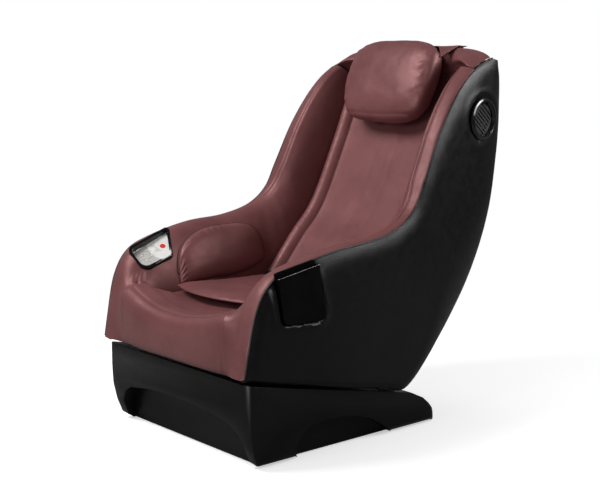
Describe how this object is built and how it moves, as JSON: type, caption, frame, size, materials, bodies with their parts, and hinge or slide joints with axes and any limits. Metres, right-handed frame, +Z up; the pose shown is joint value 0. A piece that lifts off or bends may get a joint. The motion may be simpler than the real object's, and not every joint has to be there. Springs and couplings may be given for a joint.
{
  "type": "massage chair",
  "caption": "Upholstered shell massage chair with high curved sides, reclining body on a moulded base, head pillow, hip pads, arm control panel, phone pocket and roller mechanism.",
  "frame": {"origin": "on the floor under the centre of the chair's box", "axes": "+Z up, the chair faces -Y, +X towards its left arm, the one with the phone pocket"},
  "size_m": [0.7733, 1.109, 1.1656],
  "materials": {
    "burgundy_leather": "smooth satin burgundy synthetic leather with fine grain",
    "black_leather": "smooth satin black synthetic leather",
    "base_plastic": "satin black moulded plastic",
    "gloss_black": "high gloss black plastic",
    "speaker_mesh": "black speaker mesh and cone",
    "panel_white": "pale grey printed control plate",
    "key_grey": "soft grey keys",
    "button_red": "red power button",
    "frame_steel": "black powder coated steel",
    "bright_steel": "bare machined steel",
    "motor_black": "black motor and electronics housings",
    "rubber_black": "black rubber",
    "roller_rubber": "dark massage roller rubber"
  },
  "bodies": {
    "base": {"base_shell": "base_plastic", "base_frame": "frame_steel", "base_feet": "rubber_black", "wheel_axles": "bright_steel", "pivot_pins": "bright_steel", "power_inlet": "base_plastic"},
    "wheel_left": {"transport_wheel_left": "rubber_black"},
    "wheel_right": {"transport_wheel_right": "rubber_black"},
    "switch_rocker": {"power_switch": "gloss_black"},
    "chair_body": {"seat_frame": "frame_steel", "seat_pan": "frame_steel", "panel_standoffs": "bright_steel", "bottom_cover": "base_plastic", "back_cover": "black_leather", "side_panel_left": "black_leather", "side_panel_right": "black_leather", "arm_wing_left": "burgundy_leather", "arm_wing_right": "burgundy_leather", "seat_front": "burgundy_leather", "seat_cushion": "burgundy_leather", "backrest_pad": "burgundy_leather", "top_cap": "burgundy_leather", "hip_pad_left": "burgundy_leather", "hip_pad_right": "burgundy_leather", "pillow_flap": "burgundy_leather", "phone_pocket": "gloss_black", "control_bezel": "gloss_black", "control_plate": "panel_white", "speaker_ring_left": "gloss_black", "speaker_ring_right": "gloss_black", "speaker_grille_left": "speaker_mesh", "speaker_grille_right": "speaker_mesh", "speaker_drivers": "speaker_mesh", "guide_rail_left": "frame_steel", "guide_rail_right": "frame_steel", "control_box": "motor_black", "air_pump": "motor_black"},
    "actuator_body": {"actuator_tube": "frame_steel"},
    "actuator_piston": {"actuator_rod": "bright_steel"},
    "flap": {"seat_flap": "burgundy_leather"},
    "pillow": {"head_pillow": "burgundy_leather"},
    "power_key": {"power_button": "button_red"},
    "key_body_1": {"key_1": "key_grey"},
    "key_body_2": {"key_2": "key_grey"},
    "key_body_3": {"key_3": "key_grey"},
    "key_body_4": {"key_4": "key_grey"},
    "key_body_5": {"key_5": "key_grey"},
    "key_body_6": {"key_6": "key_grey"},
    "carriage": {"massage_carriage": "frame_steel", "climb_motor": "motor_black", "kneading_motor": "motor_black"},
    "climb": {"climb_shaft": "bright_steel"},
    "knead": {"kneading_shaft": "bright_steel"},
    "arm_left": {"kneading_arm_left": "frame_steel"},
    "arm_right": {"kneading_arm_right": "frame_steel"},
    "roll_ul": {"roller_upper_left": "roller_rubber"},
    "roll_ll": {"roller_lower_left": "roller_rubber"},
    "roll_ur": {"roller_upper_right": "roller_rubber"},
    "roll_lr": {"roller_lower_right": "roller_rubber"}
  },
  "joints": [
    {"name": "recline", "type": "hinge", "parent": "base", "child": "chair_body", "pos_m": [0, 0.04, 0.098], "axis": [-1, 0, 0], "range_deg": [0, 15]},
    {"name": "actuator_swing", "type": "hinge", "parent": "base", "child": "actuator_body", "pos_m": [0, -0.225, 0.045], "axis": [-1, 0, 0], "range_deg": [0, 7.6]},
    {"name": "actuator_extend", "type": "slide", "parent": "actuator_body", "child": "actuator_piston", "axis": [0, 0.0963, 0.9954], "range_m": [0, 0.067]},
    {"name": "wheel_left_spin", "type": "hinge", "parent": "base", "child": "wheel_left", "pos_m": [0.268, 0.178, 0.027], "axis": [1, 0, 0], "continuous": true},
    {"name": "wheel_right_spin", "type": "hinge", "parent": "base", "child": "wheel_right", "pos_m": [-0.268, 0.178, 0.027], "axis": [1, 0, 0], "continuous": true},
    {"name": "power_rocker", "type": "hinge", "parent": "base", "child": "switch_rocker", "pos_m": [-0.088, 0.214, 0.034], "axis": [-1, 0, 0], "range_deg": [0, 16]},
    {"name": "flap_lift", "type": "hinge", "parent": "chair_body", "child": "flap", "pos_m": [0, -0.008, 0.42], "axis": [-1, 0, 0], "range_deg": [0, 55]},
    {"name": "pillow_flip", "type": "hinge", "parent": "chair_body", "child": "pillow", "pos_m": [0, 0.44, 1.145], "axis": [-1, 0, 0], "range_deg": [0, 170]},
    {"name": "power_press", "type": "slide", "parent": "chair_body", "child": "power_key", "axis": [-0.4964, 0.3192, -0.8073], "range_m": [0, 0.0008], "stiffness_N_per_m": 600, "springref_m": -0.001},
    {"name": "key_1_press", "type": "slide", "parent": "chair_body", "child": "key_body_1", "axis": [-0.4964, 0.3192, -0.8073], "range_m": [0, 0.0008], "stiffness_N_per_m": 400, "springref_m": -0.001},
    {"name": "key_2_press", "type": "slide", "parent": "chair_body", "child": "key_body_2", "axis": [-0.4964, 0.3192, -0.8073], "range_m": [0, 0.0008], "stiffness_N_per_m": 400, "springref_m": -0.001},
    {"name": "key_3_press", "type": "slide", "parent": "chair_body", "child": "key_body_3", "axis": [-0.4964, 0.3192, -0.8073], "range_m": [0, 0.0008], "stiffness_N_per_m": 400, "springref_m": -0.001},
    {"name": "key_4_press", "type": "slide", "parent": "chair_body", "child": "key_body_4", "axis": [-0.4964, 0.3192, -0.8073], "range_m": [0, 0.0008], "stiffness_N_per_m": 400, "springref_m": -0.001},
    {"name": "key_5_press", "type": "slide", "parent": "chair_body", "child": "key_body_5", "axis": [-0.4964, 0.3192, -0.8073], "range_m": [0, 0.0008], "stiffness_N_per_m": 400, "springref_m": -0.001},
    {"name": "key_6_press", "type": "slide", "parent": "chair_body", "child": "key_body_6", "axis": [-0.4964, 0.3192, -0.8073], "range_m": [0, 0.0008], "stiffness_N_per_m": 400, "springref_m": -0.001},
    {"name": "carriage_climb", "type": "slide", "parent": "chair_body", "child": "carriage", "axis": [0, 0.4116, 0.9114], "range_m": [-0.1, 0.066]},
    {"name": "climb_turn", "type": "hinge", "parent": "carriage", "child": "climb", "pos_m": [0, 0.43743, 0.73989], "axis": [1, 0, 0], "range_deg": [-290, 192]},
    {"name": "knead_turn", "type": "hinge", "parent": "carriage", "child": "knead", "pos_m": [0, 0.4045, 0.75475], "axis": [1, 0, 0], "continuous": true},
    {"name": "arm_left_rock", "type": "hinge", "parent": "carriage", "child": "arm_left", "pos_m": [0.058, 0.4045, 0.75475], "axis": [1, 0, 0], "range_deg": [-6, 6]},
    {"name": "arm_right_rock", "type": "hinge", "parent": "carriage", "child": "arm_right", "pos_m": [-0.058, 0.4045, 0.75475], "axis": [1, 0, 0], "range_deg": [-6, 6]},
    {"name": "roll_ul_spin", "type": "hinge", "parent": "arm_left", "child": "roll_ul", "pos_m": [0.08, 0.37878, 0.81685], "axis": [1, 0, 0], "continuous": true},
    {"name": "roll_ll_spin", "type": "hinge", "parent": "arm_left", "child": "roll_ll", "pos_m": [0.08, 0.34091, 0.733], "axis": [1, 0, 0], "continuous": true},
    {"name": "roll_ur_spin", "type": "hinge", "parent": "arm_right", "child": "roll_ur", "pos_m": [-0.08, 0.37878, 0.81685], "axis": [1, 0, 0], "continuous": true},
    {"name": "roll_lr_spin", "type": "hinge", "parent": "arm_right", "child": "roll_lr", "pos_m": [-0.08, 0.34091, 0.733], "axis": [1, 0, 0], "continuous": true}
  ],
  "couplings": [
    {"joint": "actuator_swing", "follows": "recline", "ratio": 0.498},
    {"joint": "actuator_extend", "follows": "recline", "m_per_rad": 0.25284},
    {"joint": "climb_turn", "follows": "carriage_climb", "rad_per_m": 50}
  ]
}
